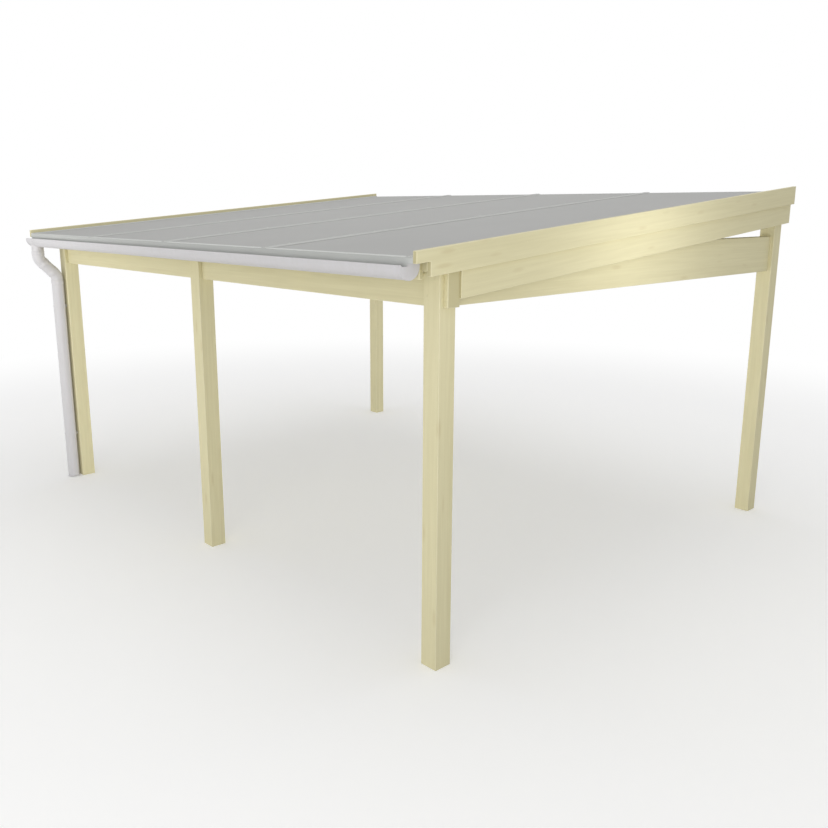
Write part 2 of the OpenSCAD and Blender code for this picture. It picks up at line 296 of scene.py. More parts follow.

# %% [markdown]
# The strips over the joints and the profiles round the sheets are extruded aluminium,
# powder coated in light grey. The coat is baked plastic, so it is no metal to the eye:
# its metallic value stays 0. What gives it away is a fine waviness, like orange peel.
# Faces marked as arrises take a grey of their own. Only the profiles mark theirs, the
# rounded top corners, and there the grey is slightly darker: painted shade that dims the
# pale line of light along them.

# %% Coated aluminium
def coated_aluminium(name, grey, dusty, arris_tone):
    """Powder coat from fresh grey to dusty, and a grey of its own on faces marked as
    arrises.
    """
    material, tree, surface = new_material(name)
    spot = add(tree, "TexCoord")
    peel = add(tree, "TexNoise", {"Vector": spot.outputs["Object"],
                                  "Scale": 1 / (1.2 * MM), "Detail": 1.0})
    film = add(tree, "TexNoise", {"Vector": spot.outputs["Object"], "Scale": 5.0,
                                  "Detail": 5.0})
    coat = add(tree, "Mix", {FACTOR: film.outputs[0], COLOUR_A: srgb(grey),
                             COLOUR_B: srgb(dusty)}, data_type="RGBA")
    # Faces marked as arrises get their own grey. On the profiles' rounded corners it is
    # darker: painted shade that dims their line of light.
    arris_mask = add(tree, "Attribute", attribute_name="arris")
    coat = add(tree, "Mix", {FACTOR: arris_mask.outputs["Fac"], COLOUR_B: srgb(arris_tone),
                             COLOUR_A: coat.outputs[COLOUR_OUT]}, data_type="RGBA")
    relief = add(tree, "Bump", {"Height": peel.outputs[0], "Strength": 0.15,
                                "Distance": 0.1 * MM})
    matt = add(tree, "MapRange", {"Value": film.outputs[0], "To Min": 0.38,
                                  "To Max": 0.55})
    shader = add(tree, "BsdfPrincipled", {
        "Base Color": coat.outputs[COLOUR_OUT], "Roughness": matt.outputs[0],
        "Normal": relief.outputs[0], "Specular IOR Level": 0.4})
    tree.links.new(shader.outputs[0], surface)
    return material


coated_strip = coated_aluminium("powder_coated_strip", "#b8b9b6", "#c0c1be", "#cacbc8")
# The profiles' arris grey is darker than their coat: painted shade on the pale line along
# the bead.
coated_profile = coated_aluminium("powder_coated_profile", "#c2c4c1", "#cbcdc9", "#bdbfbb")
print("coats:", coated_strip.name, coated_profile.name)

# %% [markdown]
# Gutter, caps and pipe are PVC, extruded or moulded, white and fairly glossy. Rain
# leaves faint grey runs on them, so the colour follows a noise that is drawn out
# downwards. A little of the light enters white PVC and comes out again nearby, but over
# less than a millimetre, so plain diffuse light is enough.

# %% White PVC
white_pvc, tree, surface = new_material("moulded_pvc_white")
spot = add(tree, "TexCoord")
runs = add(tree, "VectorMath", {0: spot.outputs["Object"], 1: (1.0, 1.0, 0.12)},
           operation="MULTIPLY")
runs = add(tree, "TexNoise", {"Vector": runs.outputs[0], "Scale": 1 / (25 * MM),
                              "Detail": 4.0, "Roughness": 0.6})
dirt = add(tree, "MapRange", {"Value": runs.outputs[0], "From Min": 0.35,
                              "From Max": 0.75, "To Max": 0.6})
plastic = add(tree, "Mix", {FACTOR: dirt.outputs[0], COLOUR_A: srgb("#cfcdcf"),
                            COLOUR_B: srgb("#cac8c7")}, data_type="RGBA")
drag = add(tree, "TexNoise", {"Vector": spot.outputs["Object"], "Scale": 1 / (4 * MM),
                              "Detail": 2.0})
relief = add(tree, "Bump", {"Height": drag.outputs[0], "Strength": 0.08,
                            "Distance": 0.1 * MM})
matt = add(tree, "MapRange", {"Value": runs.outputs[0], "To Min": 0.34, "To Max": 0.42})
shader = add(tree, "BsdfPrincipled", {
    "Base Color": plastic.outputs[COLOUR_OUT], "Roughness": matt.outputs[0], "IOR": 1.53,
    "Normal": relief.outputs[0]})
tree.links.new(shader.outputs[0], surface)
print("plastic:", white_pvc.name)

# %% [markdown]
# Three small finishes are left. Screws and washers are stainless steel, a true metal
# with its colour in the reflection. The angle plates under the roof are hot-dip
# galvanised: zinc freezes in crystals, so neighbouring patches differ in tone. The seals
# under the cover strips are EPDM rubber in light grey, which is dull and slightly rough.

# %% Steel, zinc and rubber
stainless, tree, surface = new_material("stainless_steel_turned")
spot = add(tree, "TexCoord")
lathe = add(tree, "TexNoise", {"Vector": spot.outputs["Object"], "Scale": 1 / (0.8 * MM)})
matt = add(tree, "MapRange", {"Value": lathe.outputs[0], "To Min": 0.22, "To Max": 0.4})
shader = add(tree, "BsdfPrincipled", {"Base Color": srgb("#c9c9c6"), "Metallic": 1.0,
                                      "Roughness": matt.outputs[0]})
tree.links.new(shader.outputs[0], surface)

zinc, tree, surface = new_material("galvanised_steel")
spot = add(tree, "TexCoord")
crystals = add(tree, "TexVoronoi", {"Vector": spot.outputs["Object"],
                                    "Scale": 1 / (7 * MM)})
spangle = add(tree, "SeparateColor", {0: crystals.outputs["Color"]})
tint = add(tree, "Mix", {FACTOR: spangle.outputs[0], COLOUR_A: srgb("#9fa2a3"),
                         COLOUR_B: srgb("#c2c4c4")}, data_type="RGBA")
matt = add(tree, "MapRange", {"Value": spangle.outputs[1], "To Min": 0.35,
                              "To Max": 0.55})
shader = add(tree, "BsdfPrincipled", {"Base Color": tint.outputs[COLOUR_OUT],
                                      "Metallic": 1.0, "Roughness": matt.outputs[0]})
tree.links.new(shader.outputs[0], surface)

rubber, tree, surface = new_material("epdm_rubber_seal")
spot = add(tree, "TexCoord")
talc = add(tree, "TexNoise", {"Vector": spot.outputs["Object"], "Scale": 1 / (2 * MM)})
grey = add(tree, "Mix", {FACTOR: talc.outputs[0], COLOUR_A: srgb("#c4c5c2"),
                         COLOUR_B: srgb("#cccdca")}, data_type="RGBA")
shader = add(tree, "BsdfPrincipled", {"Base Color": grey.outputs[COLOUR_OUT],
                                      "Roughness": 0.8})
tree.links.new(shader.outputs[0], surface)
print("materials in all:", len(bpy.data.materials))

# %% [markdown]
# Every piece that is added is hung on the frame's root body, gets its material, and hides
# the imported solids it stands for. One function does all of that, so that no piece can
# miss a step. It takes a bmesh, Blender's editable mesh.

# %% One way into the scene
def keep(shape, name, finish, slot, *nodes):
    """Makes an object of a bmesh, which rides on the frame in place of any nodes."""
    mesh = bpy.data.meshes.new(name)
    shape.to_mesh(mesh)
    shape.free()
    mesh.materials.append(finish)
    made = bpy.data.objects.new(name, mesh)
    scene.collection.objects.link(made)
    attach(made, "root")
    if nodes:
        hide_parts(*nodes)
    return made


print("packed nodes to dress:", len(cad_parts))

# %% [markdown]
# ## Timber pieces
# A planer leaves each board with flat faces and slightly rounded arrises, and that
# rounding is what makes two boards that touch read as two. A bevel modifier could do it,
# but it would not say which faces it made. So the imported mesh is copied, its triangles
# are merged back to flat faces, and bmesh bevels the edges and hands back the new faces,
# which get the wear. Sawn ends are marked too, and every point learns its place in the
# board, measured across, through the glued layers, and along the grain.

# %% A planed board
ARRIS = 3 * MM
FLAT, SHARP = math.radians(1), math.radians(20)  # faces merge below, edges round above


def planed(node, grain, stack, finish, number):
    """Copies a packed board, rounds its arrises and gives it coordinates for the wood."""
    shape = bmesh.new()
    shape.from_mesh(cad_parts[node].data)
    arris = shape.faces.layers.float.new("arris")
    end_grain = shape.faces.layers.float.new("end_grain")
    board = shape.verts.layers.float_vector.new("board")
    bmesh.ops.remove_doubles(shape, verts=shape.verts, dist=0.01 * MM)
    bmesh.ops.dissolve_limit(shape, angle_limit=FLAT, verts=shape.verts,
                             edges=shape.edges)
    sharp = [edge for edge in shape.edges if edge.calc_face_angle(0) > SHARP]
    rounded = bmesh.ops.bevel(shape, geom=sharp, offset=ARRIS, segments=2, profile=0.5,
                              affect="EDGES", clamp_overlap=True)
    for face in rounded["faces"]:
        face.smooth = True
        face[arris] = 1.0
    for face in shape.faces:
        if not face.smooth and abs(face.normal.dot(grain)) > 0.9:
            face[end_grain] = 1.0
    side = stack.cross(grain)
    places = [Vector((v.co.dot(side), v.co.dot(stack), v.co.dot(grain)))
              for v in shape.verts]
    start = Vector([min(place[i] for place in places) for i in range(3)])
    for vert, place in zip(shape.verts, places):
        # The gap between boards keeps the wood of each one different
        vert[board] = place - start + BOARD_GAP * number * Z
    return keep(shape, node + "_planed", finish, "timber", node)


print("arrises rounded to", ARRIS / MM, "mm")

# %% [markdown]
# Which way the grain runs is a carpenter's choice: up the posts, along the beams, and
# down the slope in rafters and gable. Layers are stacked upwards in a beam, and from
# front to back in a post. So a list gives each board its grain and its stack, and a loop
# makes them all.

# %% All the boards
POSTS = ["post_front_left", "post_front_middle", "post_front_right", "post_back_left",
         "post_back_right"]
RAFTERS = ["left_edge_rafter", "left_rafter", "middle_rafter", "right_rafter",
           "right_edge_rafter"]
SIDE_BOARDS = ["left_gable_board", "right_gable_board", "left_verge_board",
               "right_verge_board"]
cuts = [(node, Z, Y, glued_spruce) for node in POSTS]
cuts += [(node, X, Z, glued_spruce) for node in ("front_beam", "back_beam")]
cuts += [(node, Y, Z, glued_spruce) for node in ("left_side_beam", "right_side_beam")]
cuts += [(node, UP_SLOPE, X, sawn_spruce) for node in RAFTERS + SIDE_BOARDS]
cuts += [("eaves_board", X, Y, sawn_spruce)]
boards = [planed(*cut, number) for number, cut in enumerate(cuts, start=1)]
print(len(boards), "boards,", sum(len(board.data.polygons) for board in boards), "faces")

# %% [markdown]
# ## The roof
# The sheets have the right shape already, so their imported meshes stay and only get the
# finish. The same goes for the gutter and its pipe later on, so the few lines that change
# a finish are a function.

# %% Finish of the sheets
def refinish(node, finish):
    """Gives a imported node, whose shape stays, a new finish."""
    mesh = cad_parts[node].data
    mesh.materials.clear()
    mesh.materials.append(finish)


SHEETS = ["roof_sheet_1", "roof_sheet_2", "roof_sheet_3", "roof_sheet_4"]
for node in SHEETS:
    refinish(node, multiwall)
print(len(SHEETS), "sheets in", multiwall.name)

# %% [markdown]
# Strips, profiles and clips are all extrusions: an outline, drawn out along a line. A
# bevelled curve could make them too, but in bmesh every point goes where the roof is.
# One helper draws them out, one softens their shading, one gives the points of an arc
# for their round stretches, and one reads points in millimetres.

# %% Extrusions
def draw_out(shape, outline, place, start, end):
    """Draws a closed outline out from start to end; place turns (u, v, w) to a point."""
    first, last = [[shape.verts.new(place(u, v, w)) for u, v in outline]
                   for w in (start, end)]
    faces = [shape.faces.new(first), shape.faces.new(last[::-1])]
    for i in range(len(outline)):
        faces.append(shape.faces.new([first[i], first[i - 1], last[i - 1], last[i]]))
    bmesh.ops.recalc_face_normals(shape, faces=faces)
    return faces


def soften(shape, limit=40):
    """Smooth shading, with sharp edges wherever two faces meet at more than the limit."""
    for face in shape.faces:
        face.smooth = True
    for edge in shape.edges:
        edge.smooth = edge.calc_face_angle(0) < math.radians(limit)


def arc(centre, radius, first, last, steps):
    """Points on an arc, as (u, v) pairs, from one angle in degrees to another."""
    turns = [math.radians(first + (last - first) * i / steps) for i in range(steps + 1)]
    return [(centre[0] + radius * math.cos(turn), centre[1] + radius * math.sin(turn))
            for turn in turns]


def in_mm(*points):
    """Turns pairs in millimetres to pairs in metres."""
    return [(a * MM, b * MM) for a, b in points]


print("points on an arc of 36 steps:", len(arc((0, 0), 1, 0, 90, 36)))

# %% [markdown]
# What covers a joint between two sheets is an extruded strip: crowned, with a screw
# channel along its middle, and held off the sheets by two rubber seals. It is the same
# on both sides of the channel, so one half of its outline is written and then mirrored.

# %% Cover strips with their seals
STRIPS = ["joint_bar_1", "joint_bar_2", "joint_bar_3", "left_edge_bar", "right_edge_bar"]
STRIP_HALF = in_mm((9, 8.6), (10, 10.2), (12, 10.2), (14, 9), (28, 4.8), (29.5, 3.4),
                   (29.5, 2), (24, 2), (22, 3.5))
STRIP_OUTLINE = STRIP_HALF + [(-u, v) for u, v in STRIP_HALF[::-1]]
channel_h = STRIP_HALF[0][1]  # the outline starts on the floor of the screw channel
SEAL_H = 2 * MM
(_, y0, _), (_, y1, _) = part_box("high_edge_profile")
FLANGE = y1 - y0


def on_sheets(x):
    """Places an outline's (across, above) points on the roof, w metres from the eave."""
    def place(u, v, w):
        return Vector((x + u, w, sheet_top(w) + v))
    return place


seals = bmesh.new()
for node in STRIPS:
    (x0, y0, _), (x1, y1, _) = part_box(node)
    middle = (x0 + x1) / 2
    strip = bmesh.new()
    draw_out(strip, STRIP_OUTLINE, on_sheets(middle), y0, y1)
    soften(strip, 25)
    keep(strip, node + "_strip", coated_strip, "roof_bar", node)
    for side in (-1, 1):
        # The seal's lip comes out just beyond the strip and turns the water away
        seal = [(side * u * MM, v) for u, v in ((23, 0), (29.9, 0), (29.9, SEAL_H / 2),
                                                (29.3, SEAL_H), (23.5, SEAL_H))]
        draw_out(seals, seal, on_sheets(middle), y0 + FLANGE, y1 - FLANGE)
keep(seals, "strip_seals", rubber, "roof_bar")
print(len(STRIPS), "strips of", round(y1 - y0, 3), "m")

# %% [markdown]
# A screw head is a turned part: half an outline, spun about its axis. Blender's Screw
# modifier could do it, but it turns about an object's own axis, so each head would be an
# object. Written out, the spin puts all heads in one mesh, and the same few lines also
# make washers, pipe collars and plugs.

# %% Turned parts
def turn_round(shape, outline, centre, axis, steps):
    """Spins (radius, height) points about an axis.

    The piece is closed if the outline starts and ends on the axis, at radius 0, or if it
    ends where it starts, which makes a ring.
    """
    aim = axis.to_track_quat("Z", "Y")
    ring_shaped = outline[0] == outline[-1]
    rings = []
    for radius, height in outline[:-1] if ring_shaped else outline:
        count = 1 if radius == 0 else steps
        rings.append([shape.verts.new(centre + aim @ Vector((
            radius * math.cos(2 * math.pi * i / steps),
            radius * math.sin(2 * math.pi * i / steps), height))) for i in range(count)])
    if ring_shaped:
        rings.append(rings[0])
    faces = []
    for below, above in zip(rings, rings[1:]):
        for i in range(steps):
            j = (i + 1) % steps
            loop = [below[i % len(below)], below[j % len(below)],
                    above[j % len(above)], above[i % len(above)]]
            faces.append(shape.faces.new(list(dict.fromkeys(loop))))
    bmesh.ops.recalc_face_normals(shape, faces=faces)
    return faces


# A head on its washer, with a recess for the driver
HEAD = in_mm((0, 0.3), (7, 0.3), (7, 1.3), (4.6, 1.4), (4.5, 3.2), (3.4, 4.2), (1.6, 4.3),
             (1.4, 3.0), (0, 2.9))
print("a screw head is outlined by", len(HEAD), "points")

# %% [markdown]
# Each strip is held by screws through its channel, one every 350 mm. A fitter measures
# from the middle, so that what is left over is shared between both ends and the row
# looks even. The brackets in the gutter are set out in the same way.

# %% Screws in the cover strips
SCREW_STEP, SCREW_MARGIN = 350 * MM, 100 * MM


def evenly(start, end, step, margin):
    """Places in a centred row that leaves at least the margin, shared by both ends."""
    count = int((end - start - margin) / step)
    return [(start + end) / 2 + (i - count / 2) * step for i in range(count + 1)]


screws, seats = bmesh.new(), []
for node in STRIPS:
    (x0, y0, _), (x1, y1, _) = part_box(node)
    seats += [Vector(((x0 + x1) / 2, y, sheet_top(y) + channel_h))
              for y in evenly(y0, y1, SCREW_STEP, SCREW_MARGIN)]
for seat in seats:
    turn_round(screws, HEAD, seat, OFF_SLOPE, 20)
soften(screws)
keep(screws, "strip_screws", stainless, "roof_bar")
print(len(seats), "screws in the cover strips")

# %% [markdown]
# The profile along the eave grips the ends of the sheets. It is one extrusion with a web
# in front, a flange above and below, and a leg that lets the rain drip into the gutter.
# Its top corner is rolled to a small bead, which stiffens it and catches the light as a
# thin pale line. The high ends get a plainer one, because they rest on the rafters. The
# faces of both rounded corners get a slightly darker grey: painted shade that dims that
# line.

# %% Profiles at the ends of the sheets
WALL = 3 * MM
BEAD = 3.5 * MM                       # radius of the rolled corner
BEAD_UP, BEAD_OUT = 1 * MM, 0.5 * MM  # how far it stands proud of the flange and the web
LEG_CLEAR = 1 * MM                    # from the drip leg's ends to the gutter's caps


def end_profile(node, face_y, inward, rolled):
    """An extruded edge profile; u runs from its outer face inward, v above the sheets."""
    under = -SHEET_PLUMB
    if rolled:
        nose = arc((BEAD - BEAD_OUT, WALL - BEAD + BEAD_UP), BEAD, 75, 215, 10)
        foot = [(0, under - WALL), (FLANGE, under - WALL), (FLANGE, under)]
    else:
        nose = arc((BEAD, WALL - BEAD), BEAD, 90, 180, 6)
        foot = [(0, under)]
    # From the chamfered edge of the flange over the corner, down the web, and back inside
    outline = [(FLANGE, WALL - 1 * MM), (FLANGE - 2 * MM, WALL), (3 * BEAD, WALL)]
    outline += nose + foot + [(WALL, under), (WALL, 0), (FLANGE, 0)]

    def place(u, v, w):
        y = face_y + inward * u
        return Vector((w, y, sheet_top(y) + v))

    shape = bmesh.new()
    (x0, *_), (x1, *_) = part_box(node)
    draw_out(shape, outline, place, x0, x1)
    return shape


def mark_bead(shape, face_y):
    """Marks the rounded corner's faces for a darker grey, which is painted shade on its
    line of light, and softens the shading along it.
    """
    arris = shape.faces.layers.float.new("arris")
    for face in shape.faces:
        middle = face.calc_center_median()
        near = abs(middle.y - face_y) < 2 * BEAD
        if near and middle.z > sheet_top(middle.y) - BEAD and abs(face.normal.x) < 0.5:
            face[arris] = 1.0
    soften(shape, 35)


(_, eave_y, leg_low), (eave_x1, *_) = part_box("eave_profile")
(gutter_x0, gutter_y0, gutter_z0), (gutter_x1, gutter_y1, _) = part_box("gutter")
eave = end_profile("eave_profile", eave_y, 1, True)
leg_top = sheet_top(eave_y) - SHEET_PLUMB - WALL / 2
leg = [(0, leg_low), (WALL, leg_low), (WALL, leg_top), (0, leg_top)]
draw_out(eave, leg, lambda u, v, w: Vector((w, eave_y + u, v)), gutter_x0 + LEG_CLEAR,
         gutter_x1 - LEG_CLEAR)
mark_bead(eave, eave_y)
keep(eave, "eave_profile_rolled", coated_profile, "roof_bar", "eave_profile")
top_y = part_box("high_edge_profile")[1][1]
top = end_profile("high_edge_profile", top_y, -1, False)
mark_bead(top, top_y)
keep(top, "high_edge_profile_folded", coated_profile, "roof_bar", "high_edge_profile")
print("profiles close", round(eave_x1 * 2, 3), "m of sheet ends")

# %% [markdown]
# ## Gutter and downpipe
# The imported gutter, its caps and the pipe already have their true curves, so they stay
# and get the white plastic. The fittings are added: brackets inside the gutter, a raised
# rim at each end cap and one beside the outlet, collars where one pipe slips into the
# next, and clips round the pipe.

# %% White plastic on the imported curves
PLASTIC = ["gutter", "gutter_left_cap", "gutter_right_cap", "gutter_outlet",
           "upper_pipe_bend", "slanted_pipe", "lower_pipe_bend", "downpipe",
           "pipe_brackets"]
for node in PLASTIC:
    refinish(node, white_pvc)
GUTTER_R = (gutter_y1 - gutter_y0) / 2
gutter_y = (gutter_y0 + gutter_y1) / 2
gutter_z = gutter_z0 + GUTTER_R
print("gutter radius in mm:", round(GUTTER_R / MM, 1))

# %% [markdown]
# Brackets, rims and clips are all strips bent to a curve. Such a strip needs a line for
# one face and a thickness; the outline is that line and a copy of it pushed aside. It is
# then drawn out to the width of the strip, like any extrusion.

# %% Bent strips
def bent(line, thickness):
    """A closed outline: a line of (u, v) points and its copy, pushed to the right."""
    pushed = []
    for i, (u, v) in enumerate(line):
        (a, b), (c, d) = line[max(i - 1, 0)], line[min(i + 1, len(line) - 1)]
        length = math.hypot(c - a, d - b)
        pushed.append((u + (d - b) / length * thickness, v - (c - a) / length * thickness))
    return line + pushed[::-1]


def across_gutter(u, v, w):
    """Places an outline drawn round the gutter's centre line, w metres along X."""
    return Vector((w, gutter_y + u, gutter_z + v))


print("gutter's back at y =", round(across_gutter(GUTTER_R, 0, 0).y, 3))

# %% [markdown]
# The brackets lie inside the gutter, so that its front stays plain. Each one follows the
# half round from the front rim to the flange at the back, and one screw through it holds
# it to the eaves board.

# %% Brackets in the gutter
BRACKET_W, BRACKET_T = 25 * MM, 2.5 * MM
BRACKET_STEP, BRACKET_MARGIN = 620 * MM, 300 * MM
GUTTER_WALL, FLANGE_H = 3 * MM, 20 * MM
brackets, bracket_screws = bmesh.new(), bmesh.new()
inner_r = GUTTER_R - GUTTER_WALL
# Angles are degrees about the gutter's centre: 0 at the board, -180 at the front rim
strap = arc((0, 0), inner_r, -165, 0, 36) + [(inner_r, FLANGE_H - 1 * MM)]
bracket_places = evenly(gutter_x0, gutter_x1, BRACKET_STEP, BRACKET_MARGIN)
for x in bracket_places:
    draw_out(brackets, bent(strap, -BRACKET_T), across_gutter, x - BRACKET_W / 2,
             x + BRACKET_W / 2)
    seat = across_gutter(inner_r - BRACKET_T, FLANGE_H / 2, x)
    turn_round(bracket_screws, HEAD, seat, -Y, 16)
soften(brackets)
soften(bracket_screws)
keep(brackets, "gutter_brackets", white_pvc, "gutter")
keep(bracket_screws, "gutter_bracket_screws", stainless, "gutter")
print(len(bracket_places), "brackets inside the gutter")

# %% [markdown]
# A moulded cap or outlet slips over the gutter, so its edge shows as a rim that stands
# a little proud. Three narrow half rings give that edge: one at each cap and one just
# beside the outlet.

# %% Rims at the caps and the outlet
RIM_W, RIM_T = 10 * MM, 1.5 * MM
OUTLET_GAP = 4 * MM  # from the outlet's bore to its rim
(pipe_x0, pipe_y0, _), (pipe_x1, pipe_y1, pipe_top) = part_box("downpipe")
PIPE_R = (pipe_x1 - pipe_x0) / 2
pipe_x, pipe_y = (pipe_x0 + pipe_x1) / 2, (pipe_y0 + pipe_y1) / 2
shell = arc((0, 0), GUTTER_R, -14, -180, 40)
rims = bmesh.new()
for start in (gutter_x0, gutter_x1 - RIM_W, pipe_x + PIPE_R + OUTLET_GAP):
    draw_out(rims, bent(shell, -RIM_T), across_gutter, start, start + RIM_W)
soften(rims)
keep(rims, "gutter_rims", white_pvc, "gutter")
print("pipe radius in mm:", round(PIPE_R / MM, 1))

# %% [markdown]
# Each pipe slips into the socket of the next, so a joint shows as a short collar that
# is a wall thicker than the pipe. The neck is made of two bends and a slanted length, and
# its collars stand square to the run of the pipe. The slanted pipe's own box gives its
# two ends: a tube of known radius fills a box that is longer than its centre line by a
# known share, so the angle is solved from the box.

# %% Pipe collars
outlet_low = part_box("gutter_outlet")[0][2]
(_, slant_y0, slant_z0), (_, slant_y1, slant_z1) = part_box("slanted_pipe")
wide, tall = slant_y1 - slant_y0, slant_z1 - slant_z0
lean = math.atan2(wide, tall)
for _ in range(20):  # each round uses the last angle to take the pipe's width off
    lean = math.atan2(wide - 2 * PIPE_R * math.cos(lean),
                      tall - 2 * PIPE_R * math.sin(lean))
slant_axis = Vector((0, math.sin(lean), -math.cos(lean)))
slant_mid = Vector((pipe_x, (slant_y0 + slant_y1) / 2, (slant_z0 + slant_z1) / 2))
slant_half = (tall - 2 * PIPE_R * math.sin(lean)) / math.cos(lean) / 2

COLLAR_T, COLLAR_H = 2.2 * MM, 38 * MM
inside = PIPE_R - 0.5 * MM  # the hidden face lies just within the wall of the pipe
outside = PIPE_R + COLLAR_T
COLLAR = [(inside, 0), (outside - 0.6 * MM, 0), (outside, 0.8 * MM),
          (outside, COLLAR_H - 4 * MM), (PIPE_R, COLLAR_H), (inside, COLLAR_H), (inside, 0)]
collars = bmesh.new()
sockets = [(Vector((pipe_x, gutter_y, outlet_low)), Z),
           (slant_mid - slant_half * slant_axis, slant_axis),
           (slant_mid + slant_half * slant_axis, -slant_axis),
           (Vector((pipe_x, pipe_y, pipe_top)), -Z)]
for seat, direction in sockets:
    turn_round(collars, COLLAR, seat, direction, 64)
soften(collars)
keep(collars, "pipe_collars", white_pvc, "gutter")
print("the neck leans by", round(math.degrees(lean), 1), "degrees")

# %% [markdown]
# Two clips hold the downpipe to the post. The blocks behind them are packed already, so
# each clip is just a strip bent round the pipe, open at the back, where its block is.

# %% Clips round the downpipe
CLIP_T, CLIP_H, BLOCK_H = 2.5 * MM, 19 * MM, 25 * MM
(_, _, block_z0), (_, _, block_z1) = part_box("pipe_brackets")
hoop = arc((0, 0), PIPE_R, 84, -264, 72)  # the gap of 12 degrees is at the back
clips = bmesh.new()


def round_pipe(u, v, w):
    """Places an outline drawn round the downpipe's axis, at a height of w metres."""
    return Vector((pipe_x + u, pipe_y + v, w))


for middle in (block_z0 + BLOCK_H / 2, block_z1 - BLOCK_H / 2):
    draw_out(clips, bent(hoop, -CLIP_T), round_pipe, middle - CLIP_H / 2,
             middle + CLIP_H / 2)
soften(clips)
keep(clips, "pipe_clips", white_pvc, "gutter")
print("pipe clips at heights", round(block_z0, 2), round(block_z1, 2))

# %% [markdown]
# ## Fittings in the timber
# Each post head is bolted through its beam. Outside, the bolt heads sit in bores closed
# by spruce plugs, cut flush and stained over, so only a fine ring shows. Inside, a washer
# and a nut stay in view. A nut is a turned part with six steps instead of many.

# %% Bolts and plugs
BOLT_UP, BOLT_IN = 55 * MM, 35 * MM  # from beam underside or post top; from post side
PLUG_WOOD, SCREW_WOOD = 30, 40       # board numbers that no board has
PLUG = in_mm((0, -1), (14, -1), (14, 0.15), (13.2, 0.4), (0, 0.4))
WASHER = in_mm((0, 0), (18, 0), (18, 2.2), (17, 2.6), (0, 2.6))
NUT = in_mm((0, 2), (10.5, 2.2), (11.5, 3), (11.5, 11), (10.5, 11.8), (5, 12), (0, 12))
STUD = in_mm((0, 2), (5.6, 2), (5.6, 17), (4.8, 18), (0, 18))


def bolted(post, beam, outward):
    """Where the two bolts of a joint meet the post's outer and the beam's inner face."""
    (x0, y0, _), (x1, y1, top_z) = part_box(post)
    (_, b0, low_z), (_, b1, _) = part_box(beam)
    outer, inner = (y0, b1) if outward.y < 0 else (y1, b0)
    for x, z in ((x0 + BOLT_IN, low_z + BOLT_UP), (x1 - BOLT_IN, top_z - BOLT_UP)):
        yield Vector((x, outer, z)), Vector((x, inner, z))


def turn_in_wood(shape, outline, seat, axis, steps, along):
    """A turned part in the colour of wood, with its coordinates along the grain."""
    board = shape.verts.layers.float_vector["board"]
    for face in turn_round(shape, outline, seat, axis, steps):
        for vert in face.verts:
            vert[board] = vert.co - seat + along * Z


plugs, bolts = bmesh.new(), bmesh.new()
plugs.verts.layers.float_vector.new("board")
joints = [(post, "front_beam", -Y) for post in POSTS[:3]]
joints += [(post, "back_beam", Y) for post in POSTS[3:]]
nuts = 0
for number, (post, beam, outward) in enumerate(joints, start=PLUG_WOOD):
    for outer_seat, inner_seat in bolted(post, beam, outward):
        turn_in_wood(plugs, PLUG, outer_seat, outward, 40, BOARD_GAP * number)
        # At the front corners the side beams end over the nuts and hide them
        if post in ("post_front_left", "post_front_right"):
            continue
        nuts += 1
        turn_round(bolts, WASHER, inner_seat, -outward, 32)
        turn_round(bolts, NUT, inner_seat, -outward, 6)
        turn_round(bolts, STUD, inner_seat, -outward, 16)
soften(plugs)
soften(bolts)
keep(plugs, "post_plugs", sawn_spruce, "timber")
keep(bolts, "post_bolts", stainless, "timber")
print(2 * len(joints), "plugs and", nuts, "nuts in view")

# %% [markdown]
# Rafters sit in shallow notches, and angle plates keep the wind from lifting them. A
# plate is a bent strip of 2.5 mm steel: one leg on the rafter's side, one on the beam,
# with a rounded corner between and ribbed nails through both legs.

# %% Angle plates under the roof
PLATE_T, PLATE_W, FOLD_R = 2.5 * MM, 48 * MM, 6 * MM
LONG_LEG, SHORT_LEG = 65 * MM, 45 * MM
NAIL = in_mm((0, 0), (4, 0), (4, 0.7), (3, 1.3), (0, 1.4))
# Nails as (along the leg, along the rafter), in the long leg and in the short one
LONG_NAILS = in_mm((30, -14), (30, 14), (50, -14), (50, 14))
SHORT_NAILS = in_mm((20, -14), (20, 14), (36, 0))
ANGLE = ([(LONG_LEG, 0)] + arc((FOLD_R, FOLD_R), FOLD_R, -90, -180, 5)
         + [(0, SHORT_LEG)])


def at_crossing(face_x, side, middle, top):
    """Places (out from the rafter, above the beam, along the rafter) points."""
    def place(u, v, w):
        return Vector((face_x + side * u, middle + w, top + v))
    return place


plates, nails, beams = bmesh.new(), bmesh.new(), ("front_beam", "back_beam")
for rafter in RAFTERS:
    (x0, *_), (x1, *_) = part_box(rafter)
    # On the side that faces the middle of the roof, so that it never meets a post
    side = 1 if x0 + x1 < 0 else -1
    face_x = x1 if side > 0 else x0
    for beam in beams:
        (_, y0, _), (_, y1, beam_top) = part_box(beam)
        place = at_crossing(face_x, side, (y0 + y1) / 2, beam_top)
        draw_out(plates, bent(ANGLE, PLATE_T), place, -PLATE_W / 2, PLATE_W / 2)
        for u, w in LONG_NAILS:
            turn_round(nails, NAIL, place(u, PLATE_T, w), Z, 12)
        for v, w in SHORT_NAILS:
            turn_round(nails, NAIL, place(PLATE_T, v, w), side * X, 12)
soften(plates)
soften(nails)
keep(plates, "rafter_angles", zinc, "timber")
keep(nails, "rafter_nails", zinc, "timber")
print(len(RAFTERS) * len(beams), "angle plates")

# %% [markdown]
# The verge boards are screwed to the gable boards in pairs, one pair every 600 mm. The
# heads are sunk level with the face and stained over, so they are the colour of the wood
# with a small round recess.

